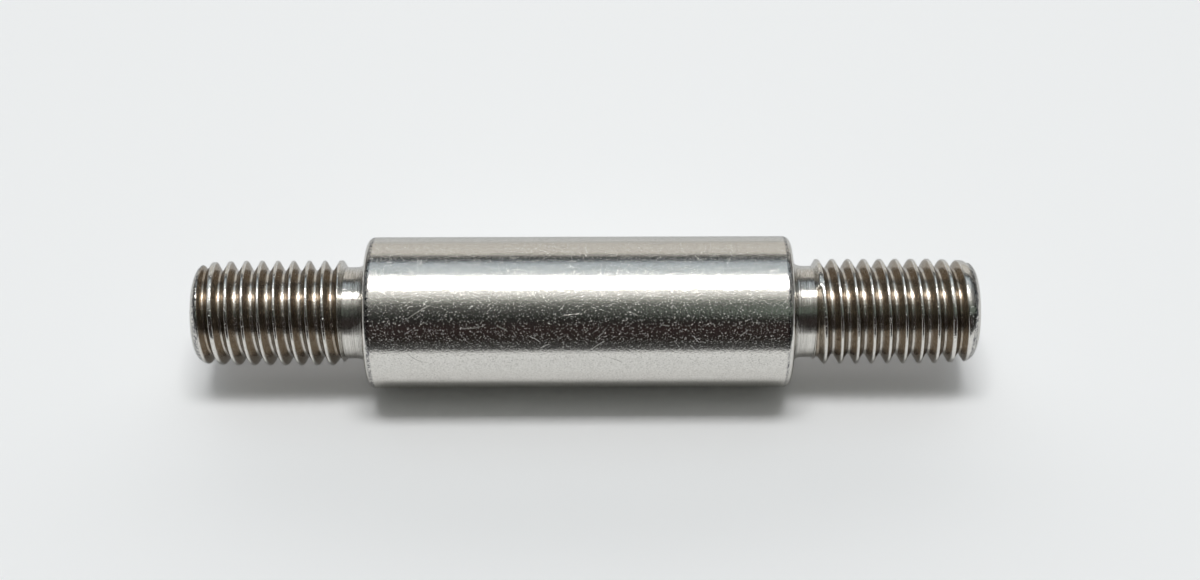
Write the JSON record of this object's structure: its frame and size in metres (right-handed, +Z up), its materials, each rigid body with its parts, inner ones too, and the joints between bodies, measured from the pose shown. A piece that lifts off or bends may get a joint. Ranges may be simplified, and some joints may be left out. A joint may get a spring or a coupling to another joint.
{
  "type": "stud bolt",
  "caption": "Double-ended stud bolt: a thick plain steel shank between two shoulders, with a necked, rolled metric thread at each end.",
  "frame": {"origin": "on the surface that the stud lies on, below the middle of its overall length", "axes": "+X along the stud's axis, towards the longer threaded end; +Z up, away from the surface; +Y is the side away from the viewer"},
  "size_m": [0.074, 0.0144, 0.0144],
  "materials": {
    "steel": "bright plated steel, satin fine-grained shank, browned thread flanks"
  },
  "bodies": {
    "root": {"stud": "steel"}
  },
  "joints": []
}
